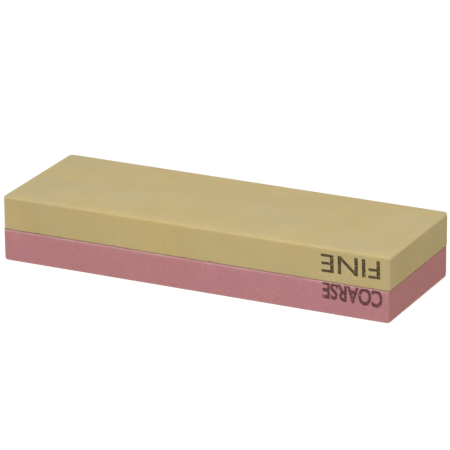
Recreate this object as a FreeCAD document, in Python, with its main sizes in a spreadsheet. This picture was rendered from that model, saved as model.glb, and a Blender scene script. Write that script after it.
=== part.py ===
import FreeCAD, Part
import os

import Sketcher

# Combination sharpening whetstone: a coarse and a fine abrasive block, bonded face to face.
#
# Frame, in millimetres: +Z is up, and the stone rests on its coarse working face at Z = 0 with the
# origin at the centre of its footprint. +X runs along the length towards the end that carries the
# grade marks, and the marked long side faces -Y.

SHEET = "sizes"

# Driving dimensions, one spreadsheet cell each: (alias, value in mm).
SIZES = (
    ("block_length", 180.0),  # each block, end to end
    ("block_width", 61.0),  # each block, side to side
    ("coarse_thickness", 14.15),  # the coarse block, working face to bonded face
    ("fine_thickness", 14.65),  # the fine block, bonded face to working face
    ("corner_radius", 1.5),  # the four upright edges of a block
    ("working_arris_radius", 0.8),  # eased edge round a working face
    ("coarse_seam_radius", 0.45),  # eased edge round the coarse block's bonded face
    ("fine_seam_radius", 0.1),  # the same round the fine block's, which is left nearly sharp
    ("bond_thickness", 0.2),  # adhesive film between the blocks
    ("bond_inset", 0.5),  # how far the film stops short of the blocks' sides
    ("bonding_slip", 0.2),  # how far the blocks sit out of line along X
)

PARTS_FOLDER = "parts"
TOLERANCE = 1e-6

# The corners of a rectangle as signs of (X, Y), in order round it.
CORNER_SIGNS = ((-1, -1), (1, -1), (1, 1), (-1, 1))


def make_sheet(doc):
    """The spreadsheet of driving dimensions, with an alias for each."""
    sheet = doc.addObject("Spreadsheet::Sheet", SHEET)
    for row, (alias, value) in enumerate(SIZES, start=1):
        cell = f"B{row}"
        sheet.set(f"A{row}", alias)
        sheet.set(cell, str(value))
        sheet.setAlias(cell, alias)
    doc.recompute()


def origin_plane(body, role):
    """One of the body's own origin planes, found by its role."""
    return next(plane for plane in body.Origin.OriginFeatures if plane.Role == role)


def add_rectangle(body, name, length, width):
    """A sketch of a rectangle centred on the body's axis. Its two sides are expressions."""
    sketch = body.newObject("Sketcher::SketchObject", name)
    sketch.AttachmentSupport = [(origin_plane(body, "XY_Plane"), "")]
    sketch.MapMode = "FlatFace"
    corners = [FreeCAD.Vector(x, y, 0) for x, y in CORNER_SIGNS]
    for start, end in zip(corners, corners[1:] + corners[:1]):
        sketch.addGeometry(Part.LineSegment(start, end), False)
    front, right, back, left = range(len(corners))
    for side, following in ((front, right), (right, back), (back, left), (left, front)):
        sketch.addConstraint(Sketcher.Constraint("Coincident", side, 2, following, 1))
    for side in (front, back):
        sketch.addConstraint(Sketcher.Constraint("Horizontal", side))
    for side in (right, left):
        sketch.addConstraint(Sketcher.Constraint("Vertical", side))
    sketch.addConstraint(Sketcher.Constraint("Symmetric", front, 1, back, 1, -1, 1))
    side_length = CORNER_SIGNS[1][0] - CORNER_SIGNS[0][0]
    for direction, side, alias, expression in (
        ("DistanceX", front, "along", length),
        ("DistanceY", right, "across", width),
    ):
        size = Sketcher.Constraint(direction, side, 1, side, 2, side_length)
        sketch.renameConstraint(sketch.addConstraint(size), alias)
        sketch.setExpression(f"Constraints.{alias}", expression)
    return sketch


def upright_edges(shape):
    """The names of the shape's edges that run along Z."""
    names = []
    for number, edge in enumerate(shape.Edges, start=1):
        box = edge.BoundBox
        if box.XLength < TOLERANCE and box.YLength < TOLERANCE:
            names.append(f"Edge{number}")
    return names


def level_face(shape, height):
    """The name of the flat face that lies level at that height in the body."""
    for number, face in enumerate(shape.Faces, start=1):
        box = face.BoundBox
        if abs(box.ZMin - height) < TOLERANCE and abs(box.ZMax - height) < TOLERANCE:
            return f"Face{number}"
    raise ValueError(f"no level face at {height}")


def add_fillet(body, name, base, elements, radius):
    """Rounds the base feature's named edges, or every edge of a face that is named."""
    fillet = body.newObject("PartDesign::Fillet", name)
    fillet.Base = (base, elements)
    fillet.setExpression("Radius", radius)
    body.Document.recompute()
    return fillet


def make_slab(doc, label, length, width, thickness, corner_radius):
    """A body that stands on its own XY plane: one pad, with its upright corners rounded."""
    body = doc.addObject("PartDesign::Body", label)
    body.Label = label
    outline = add_rectangle(body, f"{label}_outline", length, width)
    pad = body.newObject("PartDesign::Pad", f"{label}_pad")
    pad.Profile = outline
    pad.setExpression("Length", thickness)
    doc.recompute()
    corners = add_fillet(body, f"{label}_corners", pad, upright_edges(pad.Shape), corner_radius)
    return body, corners


def make_block(doc, label, thickness, seam_radius, working_face_up):
    """One abrasive block: its working face on top or underneath, its bonded face opposite."""
    body, corners = make_slab(
        doc,
        label,
        length=f"{SHEET}.block_length",
        width=f"{SHEET}.block_width",
        thickness=thickness,
        corner_radius=f"{SHEET}.corner_radius",
    )
    bottom, top = corners.Shape.BoundBox.ZMin, corners.Shape.BoundBox.ZMax
    working, bonded = (top, bottom) if working_face_up else (bottom, top)
    face = level_face(corners.Shape, working)
    eased = add_fillet(body, f"{label}_working_arris", corners, [face], f"{SHEET}.working_arris_radius")
    face = level_face(eased.Shape, bonded)
    add_fillet(body, f"{label}_seam_arris", eased, [face], seam_radius)
    return body


def make_coarse_stone(doc):
    """The lower block, its working face down on Z = 0."""
    body = make_block(
        doc,
        "coarse_stone",
        thickness=f"{SHEET}.coarse_thickness",
        seam_radius=f"{SHEET}.coarse_seam_radius",
        working_face_up=False,
    )
    body.setExpression("Placement.Base.x", f"-{SHEET}.bonding_slip / 2")
    return body


def make_bond_layer(doc):
    """The adhesive film. It stops short of the blocks' sides, which leaves the seam a groove."""
    body, _ = make_slab(
        doc,
        "bond_layer",
        length=f"{SHEET}.block_length - {SHEET}.bonding_slip - 2 * {SHEET}.bond_inset",
        width=f"{SHEET}.block_width - 2 * {SHEET}.bond_inset",
        thickness=f"{SHEET}.bond_thickness",
        corner_radius=f"{SHEET}.corner_radius - {SHEET}.bond_inset",
    )
    body.setExpression("Placement.Base.z", f"{SHEET}.coarse_thickness")
    return body


def make_fine_stone(doc):
    """The upper block, its working face up."""
    body = make_block(
        doc,
        "fine_stone",
        thickness=f"{SHEET}.fine_thickness",
        seam_radius=f"{SHEET}.fine_seam_radius",
        working_face_up=True,
    )
    body.setExpression("Placement.Base.x", f"{SHEET}.bonding_slip / 2")
    body.setExpression("Placement.Base.z", f"{SHEET}.coarse_thickness + {SHEET}.bond_thickness")
    return body


def check(doc, bodies):
    """Stops before anything is written if an object failed or a piece isn't one sound solid."""
    for item in doc.Objects:
        if {"Invalid", "Error"} & set(item.State):
            raise RuntimeError(f"{item.Name} failed to recompute: {item.State}")
    for body in bodies:
        shape = body.Shape
        if shape.isNull() or not shape.isValid() or len(shape.Solids) != 1:
            raise RuntimeError(f"{body.Label} isn't one valid solid")


def main():
    doc = FreeCAD.newDocument("whetstone")
    make_sheet(doc)
    bodies = [make_coarse_stone(doc), make_bond_layer(doc), make_fine_stone(doc)]
    doc.recompute()
    check(doc, bodies)
    os.makedirs(PARTS_FOLDER, exist_ok=True)
    for body in bodies:
        body.Shape.exportStep(f"{PARTS_FOLDER}/{body.Label}.step")
        box = body.Shape.optimalBoundingBox(False)
        print(
            f"{body.Label}: {body.Shape.Volume:.1f} mm3, X {box.XMin:.2f} to {box.XMax:.2f}, "
            f"Y {box.YMin:.2f} to {box.YMax:.2f}, Z {box.ZMin:.2f} to {box.ZMax:.2f}"
        )


main()
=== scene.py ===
import math
import random

import bmesh
import bpy
from mathutils import Matrix, Vector, noise


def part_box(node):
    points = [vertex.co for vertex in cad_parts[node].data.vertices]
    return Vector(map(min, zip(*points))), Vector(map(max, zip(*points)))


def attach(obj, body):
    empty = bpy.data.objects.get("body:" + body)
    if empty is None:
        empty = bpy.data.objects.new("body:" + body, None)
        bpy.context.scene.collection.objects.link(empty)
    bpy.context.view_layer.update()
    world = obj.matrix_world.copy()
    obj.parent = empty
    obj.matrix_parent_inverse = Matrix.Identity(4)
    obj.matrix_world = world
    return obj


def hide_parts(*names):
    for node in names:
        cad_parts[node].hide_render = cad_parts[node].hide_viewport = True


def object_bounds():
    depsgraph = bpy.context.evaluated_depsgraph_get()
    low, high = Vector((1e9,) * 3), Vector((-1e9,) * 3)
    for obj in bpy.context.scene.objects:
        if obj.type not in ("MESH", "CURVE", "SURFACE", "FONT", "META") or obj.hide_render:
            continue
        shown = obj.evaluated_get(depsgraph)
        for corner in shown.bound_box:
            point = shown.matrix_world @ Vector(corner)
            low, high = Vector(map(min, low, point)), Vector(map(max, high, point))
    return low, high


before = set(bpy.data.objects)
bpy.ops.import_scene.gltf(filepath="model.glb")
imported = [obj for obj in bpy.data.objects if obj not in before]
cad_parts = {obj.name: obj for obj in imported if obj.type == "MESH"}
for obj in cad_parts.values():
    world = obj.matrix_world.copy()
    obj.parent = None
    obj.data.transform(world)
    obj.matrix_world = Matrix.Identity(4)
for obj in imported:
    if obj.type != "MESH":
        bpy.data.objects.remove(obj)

# Sharpening whetstone: the looks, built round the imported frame.
#
# Metres, in the frame's own axes: +Z is up, +X runs along the length towards the marked end, and the
# marked long side faces -Y. The stone rests on its coarse working face at Z = 0.

MM = 0.001
WHITE = (1.0, 1.0, 1.0)

# Each block's eased edges, as the CAD has them.
CORNER_RADIUS = 1.5 * MM
WORKING_ARRIS = 0.8 * MM
COARSE_SEAM_ARRIS = 0.45 * MM
FINE_SEAM_ARRIS = 0.1 * MM

# The blocks' skins lie this far inside the CAD faces, which leaves the ink room to lie on them.
SKIN_INSET = 0.02 * MM
INK_THICKNESS = 0.01 * MM

# How finely a block's skin is divided.
SKIN_SPACING = 0.6 * MM
ARC_STEPS = 4
LEAST_GAP = 0.04 * MM

# The corners of a rectangle as signs of (X, Y), in order round it.
CORNER_SIGNS = ((-1, -1), (1, -1), (1, 1), (-1, 1))

# Every edge of a block is worn a little, in patches: the most that this takes off, the distance that
# it fades over, how far from the edge it is worked out, and the size of the patches.
EDGE_WEAR = 0.07 * MM
EDGE_WEAR_FADE = 0.5 * MM
EDGE_WEAR_REACH = 3 * MM
EDGE_WEAR_PATCHES = 4 * MM

# Small chips along each level rim of a block: how many, the radius of the largest, the range of their
# radii as shares of that, and the range of their depths as shares of their own radius.
NICKS = 26
LARGEST_NICK = 0.9 * MM
NICK_RADII = (0.35, 1.0)
NICK_DEPTHS = (0.12, 0.3)

# How far from a corner of a working face its wear reaches, the most that it takes off, and the range
# of shares of that which the four corners have.
CORNER_WEAR_REACH = 2.4 * MM
CORNER_WEAR = 0.22 * MM
CORNER_WEAR_SHARES = (0.2, 1.0)

# A working face is made paler this far in from its edges, and a side this far down: a painted
# highlight, strongest along its front edge, and a weaker paler band of wear along its other edges.
RUBBED_AND_HIGHLIGHT_REACH = 6.0 * MM
RUBBED_AND_HIGHLIGHT_DEPTH = 1.2 * MM
OTHER_EDGES_RUBBED_AND_HIGHLIGHT = 0.35
RUBBED_AND_HIGHLIGHT_TINT = (1.075, 1.06, 1.045)

# The arris round a working face is paler still, partly fresh grit and dust and partly a painted
# highlight: how far in from the edge and how far down it this reaches. Above the first depth it is
# thinner, by up to the share given, and below the second it fades out.
ARRIS_REACH = 0.9 * MM
ARRIS_DEPTH = 1.25 * MM
ARRIS_THIN_DEPTH = 0.3 * ARRIS_DEPTH
ARRIS_THINNER = 0.4
ARRIS_FADE_DEPTH = 0.7 * ARRIS_DEPTH

# How much of this dust and painted highlight each edge of a working face has.
FRONT_ARRIS_DUST_AND_HIGHLIGHT = 0.2
END_ARRIS_DUST_AND_HIGHLIGHT = 1.0
BACK_ARRIS_DUST_AND_HIGHLIGHT = 0.5

# The upright corners have a little of the same dust and painted highlight, more on the coarse block:
# full to the first distance from the corner, and gone at the second.
FINE_UPRIGHT_DUST_AND_HIGHLIGHT = 0.15
COARSE_UPRIGHT_DUST_AND_HIGHLIGHT = 0.45
UPRIGHT_DUST_AND_HIGHLIGHT_FULL = 0.6 * MM
UPRIGHT_DUST_AND_HIGHLIGHT_NONE = 1.6 * MM

# The tone changes a little near the upright corners: fully to the first distance, and not at all past
# the second.
CORNER_TONE_NONE = 5.0 * MM
CORNER_TONE_FULL = 0.4 * CORNER_TONE_NONE

# The faces at the ends take over from the long sides within this distance of the corner.
END_FADE = 0.6 * MM

# The coarse block is made pale beside the bond, by dust and a painted highlight on its arris there:
# fully down to the first depth, then less and less down to the second. Its ends have only part of what
# its long sides have. The amount is the usual one, more or less by up to the spread, in patches.
SEAM_DUST_AND_HIGHLIGHT_FULL = 0.55 * MM
SEAM_DUST_AND_HIGHLIGHT_NONE = 1.15 * MM
END_SEAM_DUST_AND_HIGHLIGHT = 0.5
SEAM_DUST_AND_HIGHLIGHT_USUAL = 0.75
SEAM_DUST_AND_HIGHLIGHT_SPREAD = 0.5
SEAM_DUST_AND_HIGHLIGHT_PATCHES = 9 * MM

FINE_KHAKI = (0.400, 0.303, 0.1235)
COARSE_PINK = (0.375, 0.148, 0.1525)

# The pores lie at places this far apart, most of which stay empty: only those whose random number is
# above these two have one, where from the first to the second it grows deeper. A pore's floor and its
# outer rim are at shares of the spacing from its middle. Its colour is taken this much of the way to
# the shade given, as painted shade in the pit.
PORE_SPACING = 2.2 * MM
PORELESS_BELOW, PORE_ABOVE = 0.80, 0.82
PORE_FLOOR, PORE_RIM = 0.06, 0.12
PORE_PAINTED_SHADE = 0.35
PORE_SHADE = 0.45

# How deep the bump of a pore and of the grain is.
PORE_DEPTH = 0.05 * MM
GRAIN_DEPTH = 0.02 * MM

# The stone's larger and smaller clouds: their sizes, and how much lighter or darker they make it.
CLOUD_SIZE = 22 * MM
CLOUD_CONTRAST = 0.025
PATCH_SIZE = 6 * MM
PATCH_CONTRAST = 0.008

# Its hue drifts over longer distances, which differ along X, Y and Z. Its mottle is much smaller, and
# is duller or shinier between two roughnesses. The finest grain only shows in the bump.
HUE_SIZE = 34 * MM
HUE_STRETCH = (0.8, 1.1, 1.3)
MOTTLE_SIZE = 2.6 * MM
LEAST_ROUGH, MOST_ROUGH = 0.68, 0.8
FINEST_GRAIN = 0.35 * MM


# ---------------------------------------------------------------------------------------------------
# Node trees
# ---------------------------------------------------------------------------------------------------


class Recipe:
    """A material whose nodes are added one call at a time, each call joining its own inputs."""

    def __init__(self, name):
        self.material = bpy.data.materials.new(name)
        self.material.use_nodes = True
        self.tree = self.material.node_tree
        self.shader = self.tree.nodes["Principled BSDF"]
        self.place = self.add("ShaderNodeTexCoord").outputs["Object"]

    def feed(self, socket, value):
        """Joins another socket to an input, or sets the input to a constant."""
        if isinstance(value, bpy.types.NodeSocket):
            self.tree.links.new(value, socket)
        else:
            socket.default_value = value

    def add(self, kind, inputs=None, **settings):
        """A new node. An input's value is a socket to join to it, or a constant."""
        node = self.tree.nodes.new(kind)
        for setting, value in settings.items():
            setattr(node, setting, value)
        for socket, value in (inputs or {}).items():
            self.feed(node.inputs[socket], value)
        return node

    def stretched(self, scale):
        """The object's coordinates, scaled along each axis."""
        return self.add("ShaderNodeMapping", {"Vector": self.place, "Scale": scale}).outputs["Vector"]

    def clouds(self, size, detail=2.0, roughness=0.5, stretch=(1, 1, 1)):
        """Soft noise from 0 to 1 whose patches are about this size, in metres."""
        inputs = {
            "Vector": self.stretched(stretch),
            "Scale": 1 / size,
            "Detail": detail,
            "Roughness": roughness,
        }
        return self.add("ShaderNodeTexNoise", inputs).outputs["Fac"]

    def cells(self, size, output="Color"):
        """Voronoi cells of about this size, in metres: a random colour each, or another output."""
        inputs = {"Vector": self.place, "Scale": 1 / size}
        return self.add("ShaderNodeTexVoronoi", inputs).outputs[output]

    def first_number(self, colour):
        """The red channel, as a number from 0 to 1."""
        return self.add("ShaderNodeSeparateColor", {"Color": colour}).outputs["Red"]

    def ramp(self, value, low, high, to_low=0.0, to_high=1.0):
        """The value's stretch from low to high, smoothly spread from to_low to to_high."""
        inputs = {
            "Value": value,
            "From Min": low,
            "From Max": high,
            "To Min": to_low,
            "To Max": to_high,
        }
        node = self.add("ShaderNodeMapRange", inputs, interpolation_type="SMOOTHSTEP")
        return node.outputs["Result"]

    def maths(self, operation, first, second):
        """The result of one operation on two numbers."""
        return self.add("ShaderNodeMath", {0: first, 1: second}, operation=operation).outputs["Value"]

    def weighed(self, first, first_share, second, second_share):
        """The sum of two numbers, each times its share."""
        first_part = self.maths("MULTIPLY", first, first_share)
        second_part = self.maths("MULTIPLY", second, second_share)
        return self.maths("ADD", first_part, second_part)

    def attribute(self, name):
        """A number that the mesh holds at each of its points."""
        return self.add("ShaderNodeAttribute", attribute_name=name).outputs["Fac"]

    def mixed(self, factor, first, second, blend="MIX"):
        """Two colours mixed by a factor."""
        node = self.add("ShaderNodeMix", data_type="RGBA", blend_type=blend)
        colours = [socket for socket in node.inputs if socket.type == "RGBA"]
        for socket, value in zip([node.inputs["Factor"]] + colours, (factor, first, second)):
            self.feed(socket, value)
        return next(socket for socket in node.outputs if socket.type == "RGBA")

    def multiplied(self, colour, tint, factor=1.0):
        """A colour times a tint, or only part of the way there."""
        return self.mixed(factor, colour, tint, blend="MULTIPLY")

    def bump(self, height, distance, strength, normal=None):
        """A normal bent by a height from 0 to 1 that stands for this distance, in metres."""
        inputs = {"Height": height, "Distance": distance, "Strength": strength}
        if normal is not None:
            inputs["Normal"] = normal
        return self.add("ShaderNodeBump", inputs).outputs["Normal"]

    def finish(self, **sockets):
        """The material, once the shader's sockets are fed. Their names have _ for each space."""
        for name, value in sockets.items():
            self.feed(self.shader.inputs[name.replace("_", " ")], value)
        return self.material


def shade(colour, factor=1.0):
    """A colour made lighter or darker, or just as it is, with the alpha that a socket needs."""
    return tuple(channel * factor for channel in colour) + (1.0,)


# ---------------------------------------------------------------------------------------------------
# The abrasive blocks
# ---------------------------------------------------------------------------------------------------


def ease_distances(radius):
    """How far in from an edge the lines lie that divide an arc of this radius evenly."""
    eighth = math.pi / 4
    return [radius * (1 - math.tan(eighth * step / ARC_STEPS)) for step in range(ARC_STEPS)]


def lattice_lines(low, high, low_radii, high_radii):
    """Coordinates from low to high that divide a side, close together where its edges are eased."""
    near_low = {low + gap for radius in low_radii for gap in ease_distances(radius)}
    near_high = {high - gap for radius in high_radii for gap in ease_distances(radius)}
    start, end = max(near_low), min(near_high)
    steps = math.ceil((end - start) / SKIN_SPACING)
    between = {start + (end - start) * step / steps for step in range(steps + 1)}
    lines = [low]
    for line in sorted(near_low | near_high | between):
        if line - lines[-1] > LEAST_GAP and high - line > LEAST_GAP:
            lines.append(line)
    return lines + [high]


def lattice_shell(lines):
    """The points and four-sided faces of a closed box divided at the lines along X, Y and Z."""
    points, faces, numbers = [], [], {}
    last = [len(along) - 1 for along in lines]

    def number(place):
        if place not in numbers:
            numbers[place] = len(points)
            points.append(Vector(along[step] for along, step in zip(lines, place)))
        return numbers[place]

    for axis in range(3):
        across, up = (axis + 1) % 3, (axis + 2) % 3
        for end in (0, last[axis]):
            for a in range(last[across]):
                for b in range(last[up]):
                    corners = []
                    for step_a, step_b in ((0, 0), (1, 0), (1, 1), (0, 1)):
                        place = [0, 0, 0]
                        place[axis], place[across], place[up] = end, a + step_a, b + step_b
                        corners.append(number(tuple(place)))
                    faces.append(corners if end else corners[::-1])
    return points, faces


def faded(distance, full, none):
    """1 up to the first distance, then less and less, to 0 at the second."""
    return max(0.0, min(1.0, (none - distance) / (none - full)))


class Block:
    """One abrasive block: a box with eased edges, worn a little along them."""

    def __init__(self, node, working_face_up, seam_arris, upright_dust_and_highlight, seed):
        low, high = (Vector(corner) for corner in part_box(node))
        inset = Vector((SKIN_INSET,) * 3)
        self.low, self.high = low + inset, high - inset
        self.centre = (low + high) / 2
        self.half = (self.high - self.low) / 2
        self.bottom_arris, self.top_arris = (
            (seam_arris, WORKING_ARRIS) if working_face_up else (WORKING_ARRIS, seam_arris)
        )
        self.working_height = self.high.z if working_face_up else self.low.z
        self.bonded_height = self.low.z if working_face_up else self.high.z
        self.upright_dust_and_highlight = upright_dust_and_highlight
        self.random = random.Random(seed)
        self.noise_shift = Vector((seed, -seed, 2 * seed))

    def lines(self):
        """Where the box is divided along X, Y and Z."""
        plan_radii = (CORNER_RADIUS, self.bottom_arris, self.top_arris)
        return [
            lattice_lines(self.low.x, self.high.x, plan_radii, plan_radii),
            lattice_lines(self.low.y, self.high.y, plan_radii, plan_radii),
            lattice_lines(self.low.z, self.high.z, (self.bottom_arris,), (self.top_arris,)),
        ]

    def eased(self, point):
        """Where a point of the square-edged box lies on the box with eased edges."""
        core = Vector((self.half.x - CORNER_RADIUS, self.half.y - CORNER_RADIUS))
        offset = (point - self.centre).to_2d()
        nearest = Vector(max(-limit, min(limit, part)) for part, limit in zip(offset, core))
        outward = offset - nearest
        reach = max(abs(part) for part in outward)
        if reach == 0:
            return point.copy()
        outward.normalize()
        inset = CORNER_RADIUS - reach
        top_side = point.z > self.centre.z
        arris = self.top_arris if top_side else self.bottom_arris
        depth = self.high.z - point.z if top_side else point.z - self.low.z
        if inset < arris and depth < arris:
            from_centre = Vector((arris - inset, arris - depth))
            from_centre *= max(from_centre) / from_centre.length
            inset, depth = arris - from_centre.x, arris - from_centre.y
        plan = self.centre.to_2d() + nearest + outward * (CORNER_RADIUS - inset)
        height = self.high.z - depth if top_side else self.low.z + depth
        return Vector((plan.x, plan.y, height))

    def edge_distance(self, point):
        """How far a point of the square-edged box's surface is from the nearest edge of its face."""
        gaps = [self.half[axis] - abs(point[axis] - self.centre[axis]) for axis in range(3)]
        return sorted(gaps)[1]

    def nicks(self):
        """Small chips along the level rims and the worn corners: (place, radius, depth)."""
        found = []
        for rim_height in (self.high.z, self.low.z):
            for _ in range(NICKS):
                along_length = self.random.random() < self.half.x / (self.half.x + self.half.y)
                spot = Vector((self.random.uniform(-1, 1), self.random.choice((-1, 1))))
                if not along_length:
                    spot = spot.yx
                radius = LARGEST_NICK * self.random.uniform(*NICK_RADII)
                depth = radius * self.random.uniform(*NICK_DEPTHS)
                found.append((self.on_outline(spot, rim_height), radius, depth))
        for signs in CORNER_SIGNS:
            corner = self.on_outline(Vector(signs), self.working_height)
            depth = CORNER_WEAR * self.random.uniform(*CORNER_WEAR_SHARES)
            found.append((corner, CORNER_WEAR_REACH, depth))
        return found

    def on_outline(self, spot, height):
        """A place given by shares of the half length and half width, and by its height."""
        place = Vector((spot.x * self.half.x, spot.y * self.half.y, 0)) + self.centre
        place.z = height
        return place

    def skin(self, name):
        """The block's visible mesh, whose points keep their wear, dust and painted light as attributes.
        """
        square, faces = lattice_shell(self.lines())
        points = [self.eased(point) for point in square]
        edge_gaps = [self.edge_distance(point) for point in square]
        for number, (point, gap) in enumerate(zip(points, edge_gaps)):
            if gap < EDGE_WEAR_REACH:
                wear = 0.5 + 0.5 * noise.noise(point / EDGE_WEAR_PATCHES + self.noise_shift)
                push = EDGE_WEAR * wear * math.exp(-gap / EDGE_WEAR_FADE)
                point += self.towards_inside(square[number]) * push
        for place, radius, depth in self.nicks():
            for number, gap in enumerate(edge_gaps):
                if gap < radius:
                    away = (points[number] - place).length / radius
                    if away < 1:
                        inward = self.towards_inside(square[number])
                        points[number] += inward * depth * (1 - away * away)
        mesh = bpy.data.meshes.new(name)
        mesh.from_pydata(points, [], faces)
        mesh.polygons.foreach_set("use_smooth", [True] * len(faces))
        for measure in (
            self.rubbed_and_highlight,
            self.arris_dust_and_highlight,
            self.near_corner,
            self.seam_dust_and_highlight,
            self.working_face_painted_light,
            self.end_face_painted_light,
        ):
            values = mesh.attributes.new(measure.__name__, "FLOAT", "POINT").data
            values.foreach_set("value", [measure(point) for point in square])
        return mesh

    def from_outline(self, point):
        """How far a point is from the nearer long side, and from the nearer end."""
        from_side = self.half.y - abs(point.y - self.centre.y)
        from_end = self.half.x - abs(point.x - self.centre.x)
        return from_side, from_end

    def rubbed_and_highlight(self, point):
        """How pale a point is, 0 to 1, by painted highlight and wear: most at the working face's front
        edge.
        """
        depth = abs(point.z - self.working_height)
        from_front = point.y - self.low.y
        from_others = min(self.high.y - point.y, self.half.x - abs(point.x - self.centre.x))
        reach = max(
            1 - from_front / RUBBED_AND_HIGHLIGHT_REACH,
            OTHER_EDGES_RUBBED_AND_HIGHLIGHT * (1 - from_others / RUBBED_AND_HIGHLIGHT_REACH),
        )
        return max(0.0, reach) * max(0.0, 1 - depth / RUBBED_AND_HIGHLIGHT_DEPTH)

    def arris_dust_and_highlight(self, point):
        """How pale the working face's arris or an upright corner is at a point, 0 to 1: dust and painted
        highlight.
        """
        depth = abs(point.z - self.working_height)
        from_side, from_end = self.from_outline(point)
        side_amount = FRONT_ARRIS_DUST_AND_HIGHLIGHT if point.y < self.centre.y else BACK_ARRIS_DUST_AND_HIGHLIGHT
        amount = max(
            side_amount * faded(from_side, 0.0, ARRIS_REACH),
            END_ARRIS_DUST_AND_HIGHLIGHT * faded(from_end, 0.0, ARRIS_REACH),
        )
        amount *= 1 - ARRIS_THINNER * faded(depth, 0.0, ARRIS_THIN_DEPTH)
        amount *= faded(depth, ARRIS_FADE_DEPTH, ARRIS_DEPTH)
        upright = faded(max(from_side, from_end), UPRIGHT_DUST_AND_HIGHLIGHT_FULL, UPRIGHT_DUST_AND_HIGHLIGHT_NONE)
        return max(amount, self.upright_dust_and_highlight * upright)

    def near_corner(self, point):
        """How near a point is to an upright corner, from 0 to 1."""
        return faded(max(self.from_outline(point)), CORNER_TONE_FULL, CORNER_TONE_NONE)

    # Marks the working face, where a cooler, bluer tint is painted light: sheen from the sky.
    def working_face_painted_light(self, point):
        """1 on the working face, 0 on the others."""
        return float(point.z == self.working_height)

    # Marks the ends, where a warmer tint is painted light.
    def end_face_painted_light(self, point):
        """1 on an end of the block, 0 on its long sides."""
        _, from_end = self.from_outline(point)
        return faded(from_end, 0.0, END_FADE)

    def seam_dust_and_highlight(self, point):
        """How pale the arris beside the bond is at a point, from 0 to 1: dust and a painted highlight.
        """
        depth = abs(point.z - self.bonded_height)
        from_side, from_end = self.from_outline(point)
        patch = noise.noise(point / SEAM_DUST_AND_HIGHLIGHT_PATCHES + self.noise_shift)
        return (SEAM_DUST_AND_HIGHLIGHT_USUAL + SEAM_DUST_AND_HIGHLIGHT_SPREAD * patch) * max(
            faded(max(depth, from_side), SEAM_DUST_AND_HIGHLIGHT_FULL, SEAM_DUST_AND_HIGHLIGHT_NONE),
            END_SEAM_DUST_AND_HIGHLIGHT * faded(max(depth, from_end), SEAM_DUST_AND_HIGHLIGHT_FULL, SEAM_DUST_AND_HIGHLIGHT_NONE),
        )

    def towards_inside(self, point):
        """The direction in from the nearest edges: square to every face of the box close by."""
        direction = Vector((0, 0, 0))
        for axis in range(3):
            offset = point[axis] - self.centre[axis]
            if self.half[axis] - abs(offset) < CORNER_RADIUS:
                direction[axis] = -math.copysign(1, offset)
        return direction.normalized()


def abrasive_material(name, colour, grain_size, contrast, warm, cool, tints):
    """Bonded abrasive: close grains, soft clouding from the mix, fine pores with painted shade in them,
    and paler edges, from dust and painted highlights.

    Warm and cool are the tints that the hue drifts between. Each of the named tints multiplies the
    colour by as much of it as the mesh's attribute of that name says.
    """
    recipe = Recipe(name)
    clouds = recipe.clouds(CLOUD_SIZE, detail=3.0)
    patches = recipe.clouds(PATCH_SIZE)
    hue = recipe.clouds(HUE_SIZE, stretch=HUE_STRETCH)
    mottle = recipe.clouds(MOTTLE_SIZE, detail=4.0, roughness=0.65)
    grains = recipe.first_number(recipe.cells(grain_size))
    tone = recipe.weighed(grains, 0.55, mottle, 0.45)
    body = recipe.mixed(
        recipe.ramp(tone, 0.2, 0.8),
        shade(colour, 1 - contrast),
        shade(colour, 1 + contrast),
    )
    for cloud, cloud_contrast in ((clouds, CLOUD_CONTRAST), (patches, PATCH_CONTRAST)):
        clouded = recipe.mixed(
            recipe.ramp(cloud, 0.3, 0.7),
            shade(WHITE, 1 - cloud_contrast),
            shade(WHITE, 1 + cloud_contrast),
        )
        body = recipe.multiplied(body, clouded)
    drift = recipe.mixed(recipe.ramp(hue, 0.35, 0.65), shade(warm), shade(cool))
    body = recipe.multiplied(body, drift)
    # Several tints are painted light: edge and seam highlights, a cooler working face and warmer ends.
    for attribute, tint in tints.items():
        body = recipe.multiplied(body, shade(tint), recipe.attribute(attribute))
    hollow = recipe.ramp(recipe.cells(PORE_SPACING, output="Distance"), PORE_FLOOR, PORE_RIM)
    chance = recipe.first_number(recipe.cells(PORE_SPACING))
    filled = recipe.ramp(chance, PORELESS_BELOW, PORE_ABOVE, to_low=1.0, to_high=0.0)
    surface = recipe.maths("MAXIMUM", hollow, filled)
    # The pores are darkened: painted shade in pits that are only a bump.
    tone_mix = recipe.ramp(surface, 0.0, 1.0, to_low=PORE_PAINTED_SHADE, to_high=0.0)
    body = recipe.mixed(tone_mix, body, shade(colour, PORE_SHADE))
    finest = recipe.clouds(FINEST_GRAIN, detail=3.0, roughness=0.7)
    height = recipe.weighed(finest, 0.5, grains, 0.5)
    normal = recipe.bump(height, GRAIN_DEPTH, strength=0.5)
    normal = recipe.bump(surface, PORE_DEPTH, strength=0.6, normal=normal)
    roughness = recipe.ramp(mottle, 0.2, 0.8, to_low=LEAST_ROUGH, to_high=MOST_ROUGH)
    return recipe.finish(Base_Color=body, Roughness=roughness, Normal=normal, Specular_IOR_Level=0.5)


def add_piece(name, mesh, material):
    """A visible piece of the object: in the scene, with its material, on the root body."""
    piece = bpy.data.objects.new(name, mesh)
    bpy.context.scene.collection.objects.link(piece)
    mesh.materials.append(material)
    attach(piece, "root")
    return piece


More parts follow.
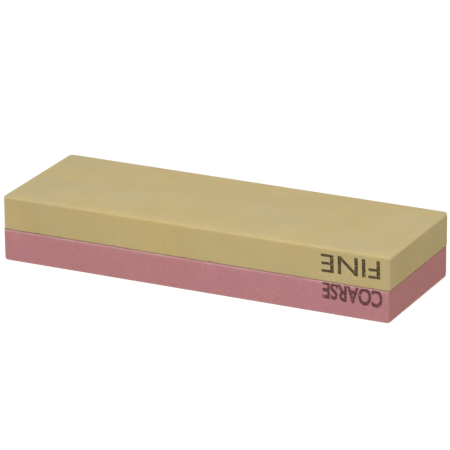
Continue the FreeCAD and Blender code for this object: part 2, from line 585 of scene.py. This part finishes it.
def add_blocks():
    """The two abrasive blocks, each in place of its CAD node."""
    fine = add_piece(
        "fine_block",
        Block(
            "fine_stone",
            working_face_up=True,
            seam_arris=FINE_SEAM_ARRIS,
            upright_dust_and_highlight=FINE_UPRIGHT_DUST_AND_HIGHLIGHT,
            seed=11,
        ).skin("fine_block"),
        abrasive_material(
            "fine_abrasive",
            FINE_KHAKI,
            grain_size=0.45 * MM,
            contrast=0.036,
            warm=(1.01, 0.995, 0.94),
            cool=(0.985, 1.0, 1.06),
            tints={
                # Painted light: a cooler, bluer working face, as sheen from the sky.
                "working_face_painted_light": (0.996, 1.028, 1.125),
                # Painted light: warmer ends.
                "end_face_painted_light": (1.066, 1.042, 0.95),
                "near_corner": (0.985, 1.0, 1.12),
                "rubbed_and_highlight": RUBBED_AND_HIGHLIGHT_TINT,
                "arris_dust_and_highlight": (1.31, 1.36, 1.66),
            },
        ),
    )
    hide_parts("fine_stone")
    coarse = add_piece(
        "coarse_block",
        Block(
            "coarse_stone",
            working_face_up=False,
            seam_arris=COARSE_SEAM_ARRIS,
            upright_dust_and_highlight=COARSE_UPRIGHT_DUST_AND_HIGHLIGHT,
            seed=23,
        ).skin("coarse_block"),
        abrasive_material(
            "coarse_abrasive",
            COARSE_PINK,
            grain_size=0.7 * MM,
            contrast=0.05,
            warm=(1.015, 1.0, 0.97),
            cool=(0.985, 1.0, 1.03),
            tints={
                # Painted light: a cooler, bluer working face, as sheen from the sky.
                "working_face_painted_light": (0.99, 1.01, 1.03),
                # Painted light: warmer ends.
                "end_face_painted_light": (1.03, 0.925, 0.815),
                "near_corner": (0.965, 0.985, 0.955),
                "rubbed_and_highlight": RUBBED_AND_HIGHLIGHT_TINT,
                "arris_dust_and_highlight": (1.15, 1.35, 1.4),
                "seam_dust_and_highlight": (1.18, 1.6, 1.45),
            },
        ),
    )
    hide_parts("coarse_stone")


# ---------------------------------------------------------------------------------------------------
# The bond between the blocks
# ---------------------------------------------------------------------------------------------------


# How far the adhesive was pressed out past the film that the CAD has, at the ends and the sides.
SQUEEZED_OUT = (0.5 * MM, 0.35 * MM)

# The film's edge bulges: shares of its thickness from the bottom, and how far it is set back there.
BULGE = (
    (0.0, 0.05 * MM),
    (0.25, 0.015 * MM),
    (0.5, 0.0),
    (0.75, 0.015 * MM),
    (1.0, 0.05 * MM),
)

# The film's edge also wanders in and out by up to about twice this, in long waves with short ones,
# half as strong, on top.
WANDER = 0.12 * MM
LONG_WAVES = 7 * MM
SHORT_WAVES = 1.5 * MM

# How close together the points of the film's edge are.
FILM_SPACING = 0.6 * MM

# The film is as pale as at the ends up to the first distance from one, and not at all at the second.
FILM_END_FULL = 0.4 * MM
FILM_END_NONE = 0.8 * MM


def adhesive_material():
    """Set resin adhesive, darker along the sides and paler at the ends."""
    recipe = Recipe("adhesive")
    tone_mix = recipe.ramp(recipe.clouds(2.5 * MM, detail=3.0), 0.3, 0.7)
    colour = recipe.mixed(tone_mix, shade((0.17, 0.10, 0.06)), shade((0.30, 0.20, 0.12)))
    colour = recipe.mixed(recipe.attribute("at_end"), colour, shade((0.42, 0.24, 0.12)))
    normal = recipe.bump(recipe.clouds(0.6 * MM), 0.03 * MM, strength=0.5)
    return recipe.finish(Base_Color=colour, Roughness=0.6, Normal=normal)


def rectangle_outline(half):
    """Spots round a rectangle of this half size, centred at the origin and evenly spaced."""
    outline = []
    corners = [Vector((x * half.x, y * half.y)) for x, y in CORNER_SIGNS]
    for start, end in zip(corners, corners[1:] + corners[:1]):
        steps = math.ceil((end - start).length / FILM_SPACING)
        outline += [start.lerp(end, step / steps) for step in range(steps)]
    return outline


def add_bond():
    """The adhesive film, whose edge wanders and bulges a little in the groove between the blocks."""
    low, high = (Vector(corner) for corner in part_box("bond_layer"))
    centre, half = (low + high) / 2, (high - low) / 2
    half.xy += Vector(SQUEEZED_OUT)
    outline = rectangle_outline(half)
    rings = []
    bm = bmesh.new()
    for share, set_back in BULGE:
        height = low.z + (high.z - low.z) * share
        ring = []
        for spot in outline:
            place = spot.to_3d()
            wander = noise.noise(place / LONG_WAVES) + 0.5 * noise.noise(place / SHORT_WAVES)
            inset = set_back + WANDER * (1 + wander)
            x = centre.x + spot.x * (1 - inset / half.x)
            y = centre.y + spot.y * (1 - inset / half.y)
            ring.append(bm.verts.new((x, y, height)))
        rings.append(ring)
    for below, above in zip(rings, rings[1:]):
        for number, _ in enumerate(below):
            following = (number + 1) % len(below)
            bm.faces.new((below[number], below[following], above[following], above[number]))
    bm.faces.new(rings[0][::-1])
    bm.faces.new(rings[-1])
    mesh = bpy.data.meshes.new("adhesive_film")
    bm.to_mesh(mesh)
    bm.free()
    from_ends = [half.x - abs(vertex.co.x - centre.x) for vertex in mesh.vertices]
    at_end = [faded(from_end, FILM_END_FULL, FILM_END_NONE) for from_end in from_ends]
    mesh.attributes.new("at_end", "FLOAT", "POINT").data.foreach_set("value", at_end)
    film = add_piece("adhesive_film", mesh, adhesive_material())
    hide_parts("bond_layer")


# ---------------------------------------------------------------------------------------------------
# The grade marks
# ---------------------------------------------------------------------------------------------------


# How finely a letter's curves are divided, and the grid that cuts a word into small faces.
LETTER_STEPS = 8
WORD_GRID = 0.22 * MM

# Points of a word closer together than this are one.
SAME_PLACE = 0.001 * MM

# A word's outline is rough by up to this, in ripples of this size. Their X and Y parts come from
# places in the noise that are this far apart.
RIPPLE_DEPTH = 0.07 * MM
RIPPLE_SIZE = 0.45 * MM
RIPPLE_SHIFT = Vector((31.7, 12.3, 5.9))

# The ink is worn off where two noises add up to more than the last of these: the sizes of their
# flecks, in millimetres, and how strong the second noise is beside the first.
SMALL_FLECKS = 0.5
LARGE_FLECKS = 1.6
LARGE_FLECKS_SHARE = 0.6
WORN_ABOVE = 0.62


def ink_material(name, colour, worn_colour):
    """Marking ink soaked into the grain: darkest where it took well, paler where it's thin."""
    recipe = Recipe(name)
    patch = recipe.clouds(1.3 * MM, detail=4.0, roughness=0.65)
    grain = recipe.first_number(recipe.cells(0.35 * MM))
    thin = recipe.weighed(patch, 0.75, grain, 0.25)
    body = recipe.mixed(recipe.ramp(thin, 0.42, 0.75), shade(colour), shade(worn_colour))
    normal = recipe.bump(grain, 0.015 * MM, strength=0.4)
    return recipe.finish(Base_Color=body, Roughness=0.8, Normal=normal, Specular_IOR_Level=0.2)


def word_mesh(word, width, height, stroke):
    """A word, filled, centred at the origin in X and Y and made to fit a size.

    The stroke is how far the letters' outlines are pushed outwards, for a letter 1 high.
    """
    curve = bpy.data.curves.new(word, "FONT")
    curve.body = word
    curve.offset = stroke
    curve.resolution_u = LETTER_STEPS
    carrier = bpy.data.objects.new(word, curve)
    bpy.context.scene.collection.objects.link(carrier)
    bpy.context.view_layer.update()
    mesh = bpy.data.meshes.new_from_object(carrier)
    bpy.data.objects.remove(carrier)
    bpy.data.curves.remove(curve)
    xs = [vertex.co.x for vertex in mesh.vertices]
    ys = [vertex.co.y for vertex in mesh.vertices]
    middle = Vector(((max(xs) + min(xs)) / 2, (max(ys) + min(ys)) / 2, 0))
    scale = Matrix.Diagonal((width / (max(xs) - min(xs)), height / (max(ys) - min(ys)), 1, 1))
    mesh.transform(Matrix.Translation(-middle))
    mesh.transform(scale)
    return mesh


def cut(bm, point, normal, drop=False):
    """Divides a mesh along a plane and drops what lies beyond it, if asked."""
    geometry = bm.verts[:] + bm.edges[:] + bm.faces[:]
    bmesh.ops.bisect_plane(bm, geom=geometry, plane_co=point, plane_no=normal, clear_outer=drop)


def add_grade_mark(name, word, centre, size, stroke, tilt, ceiling, material):
    """A grade word in ink on the front side, stamped upside down and cut off level at the ceiling.

    It is turned by the tilt about its centre. Its edge is rough, and it is worn off in flecks.
    """
    width, height = size
    bm = bmesh.new()
    bm.from_mesh(word_mesh(word, width, height, stroke))
    bmesh.ops.remove_doubles(bm, verts=bm.verts, dist=SAME_PLACE)
    for axis, reach in ((Vector((1, 0, 0)), width / 2), (Vector((0, 1, 0)), height / 2)):
        steps = math.floor(reach / WORD_GRID)
        for step in range(-steps, steps + 1):
            cut(bm, axis * step * WORD_GRID, axis)
    worn = [face for face in bm.faces if is_worn(face.calc_center_median(), centre)]
    bmesh.ops.delete(bm, geom=worn, context="FACES")
    for vertex in bm.verts:
        if vertex.is_boundary:
            place = vertex.co / RIPPLE_SIZE + Vector(centre) / MM
            ripple = Vector((noise.noise(place), noise.noise(place + RIPPLE_SHIFT), 0))
            vertex.co += ripple * RIPPLE_DEPTH
    turned = Matrix.Rotation(math.pi + tilt, 4, "Z")
    upright = Matrix.Rotation(math.pi / 2, 4, "X")
    bm.transform(Matrix.Translation(centre) @ upright @ turned)
    cut(bm, (0, 0, ceiling), (0, 0, 1), drop=True)
    film = bmesh.ops.extrude_face_region(bm, geom=bm.faces[:])
    backs = [item for item in film["geom"] if isinstance(item, bmesh.types.BMVert)]
    bmesh.ops.translate(bm, verts=backs, vec=(0, 2 * INK_THICKNESS, 0))
    bmesh.ops.recalc_face_normals(bm, faces=bm.faces)
    mesh = bpy.data.meshes.new(name)
    bm.to_mesh(mesh)
    bm.free()
    add_piece(name, mesh, material)


def is_worn(spot, centre):
    """True where the ink has come off, in flecks."""
    place = (spot + Vector(centre)) / MM
    fleck = noise.noise(place / SMALL_FLECKS)
    fleck += LARGE_FLECKS_SHARE * noise.noise(place / LARGE_FLECKS)
    return fleck > WORN_ABOVE


def add_grade_marks():
    """The two grade words, near the +X end of the front side."""
    fine_low, fine_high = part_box("fine_stone")
    _, coarse_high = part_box("coarse_stone")
    face = fine_low[1] + SKIN_INSET - INK_THICKNESS
    end = fine_high[0]
    add_grade_mark(
        "fine_grade_mark",
        "FINE",
        centre=(end - 17.6 * MM, face, fine_high[2] - 6.5 * MM),
        size=(26.5 * MM, 7.9 * MM),
        stroke=0.008,
        tilt=math.radians(1.35),
        ceiling=fine_high[2] - WORKING_ARRIS,
        material=ink_material("ink_on_khaki", (0.05, 0.0325, 0.017), (0.145, 0.107, 0.05)),
    )
    add_grade_mark(
        "coarse_grade_mark",
        "COARSE",
        centre=(end - 16.7 * MM, face, coarse_high[2] - 3.8 * MM),
        size=(27.0 * MM, 7.8 * MM),
        stroke=0.036,
        tilt=math.radians(-0.9),
        ceiling=coarse_high[2] - COARSE_SEAM_ARRIS,
        material=ink_material("ink_on_pink", (0.09, 0.0315, 0.036), (0.17, 0.07, 0.075)),
    )


# ---------------------------------------------------------------------------------------------------
# The studio
# ---------------------------------------------------------------------------------------------------

# The camera looks from far off with a long lens. The point that it aims at is this far to the right
# of the stone's middle and above it, as the camera sees it.
AZIMUTH = math.radians(26.24)
ELEVATION = math.radians(20.04)
ROLL = math.radians(-0.535)
CAMERA_DISTANCE = 1590 * MM
SENSOR = 36.0
LENS = 299.95
AIM_RIGHT = 0.446 * MM
AIM_UP = 4.595 * MM
FARTHEST_SEEN = 100

# The key light: a square softbox high in front of the stone, aimed at the origin.
KEY_PLACE = Vector((0.06, -0.34, 0.53))
KEY_SIDE = 0.5
KEY_POWER = 3.72

# The floor is a large disc that also glows, so that the stone throws only a faint shadow on it.
FLOOR_RADIUS = 40
FLOOR_SIDES = 64
FLOOR_GREY = 0.085
FLOOR_GLOW = 0.955

# The sky is dim away from the backdrop and bright over it. It changes from one to the other between
# these two cosines of the angle to the backdrop's direction.
BACKDROP_DIRECTION = (-0.6, 0.8, 0)
DIM_SKY = 0.39
BRIGHT_SKY = 1.0
DIM_COSINE = -0.3
BRIGHT_COSINE = 0.7


def add_camera(middle):
    """The camera, aimed beside the object's middle."""
    back = Vector(
        (
            math.sin(AZIMUTH) * math.cos(ELEVATION),
            -math.cos(AZIMUTH) * math.cos(ELEVATION),
            math.sin(ELEVATION),
        )
    )
    right = Vector((math.cos(AZIMUTH), math.sin(AZIMUTH), 0))
    up = back.cross(right)
    turn = Matrix((right, up, back)).transposed() @ Matrix.Rotation(ROLL, 3, "Z")
    data = bpy.data.cameras.new("camera")
    data.sensor_width = SENSOR
    data.lens = LENS
    data.clip_end = FARTHEST_SEEN
    camera = bpy.data.objects.new("camera", data)
    bpy.context.scene.collection.objects.link(camera)
    place = middle + turn @ Vector((AIM_RIGHT, AIM_UP, CAMERA_DISTANCE))
    camera.matrix_world = Matrix.Translation(place) @ turn.to_4x4()
    bpy.context.scene.camera = camera


def add_key_light():
    """The softbox."""
    data = bpy.data.lights.new("key", "AREA")
    data.shape = "RECTANGLE"
    data.size = KEY_SIDE
    data.size_y = KEY_SIDE
    data.energy = KEY_POWER
    light = bpy.data.objects.new("key", data)
    bpy.context.scene.collection.objects.link(light)
    light.location = KEY_PLACE
    light.rotation_euler = (-KEY_PLACE).to_track_quat("-Z", "Y").to_euler()


def add_floor():
    """The plain pale floor, which isn't part of the object."""
    recipe = Recipe("floor")
    material = recipe.finish(
        Base_Color=shade(WHITE, FLOOR_GREY),
        Roughness=0.9,
        Specular_IOR_Level=0.0,
        Emission_Color=shade(WHITE),
        Emission_Strength=FLOOR_GLOW,
    )
    bm = bmesh.new()
    bmesh.ops.create_circle(bm, cap_ends=True, segments=FLOOR_SIDES, radius=FLOOR_RADIUS)
    mesh = bpy.data.meshes.new("floor")
    bm.to_mesh(mesh)
    bm.free()
    mesh.materials.append(material)
    floor = bpy.data.objects.new("floor", mesh)
    bpy.context.scene.collection.objects.link(floor)


def add_backdrop_glow(tree, strength):
    """A sky that is bright over the backdrop, behind the stone and to its left, and dimmer elsewhere."""
    direction = tree.nodes.new("ShaderNodeTexCoord").outputs["Generated"]
    towards = tree.nodes.new("ShaderNodeVectorMath")
    towards.operation = "DOT_PRODUCT"
    towards.inputs[1].default_value = BACKDROP_DIRECTION
    tree.links.new(direction, towards.inputs[0])
    glow = tree.nodes.new("ShaderNodeMapRange")
    glow.interpolation_type = "SMOOTHSTEP"
    for socket, value in (
        ("From Min", DIM_COSINE),
        ("From Max", BRIGHT_COSINE),
        ("To Min", DIM_SKY),
        ("To Max", BRIGHT_SKY),
    ):
        glow.inputs[socket].default_value = value
    tree.links.new(towards.outputs["Value"], glow.inputs["Value"])
    tree.links.new(glow.outputs["Result"], strength)


def light_studio():
    """A sky and one softbox."""
    scene = bpy.context.scene
    scene.view_settings.view_transform = "Standard"
    world = bpy.data.worlds.new("studio")
    scene.world = world
    world.use_nodes = True
    sky = world.node_tree.nodes["Background"]
    sky.inputs["Color"].default_value = shade(WHITE)
    add_backdrop_glow(world.node_tree, sky.inputs["Strength"])
    add_key_light()


def main():
    cad_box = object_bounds()
    low, high = (Vector(corner) for corner in cad_box)
    add_blocks()
    add_bond()
    add_grade_marks()
    add_floor()
    light_studio()
    add_camera((low + high) / 2)


main()
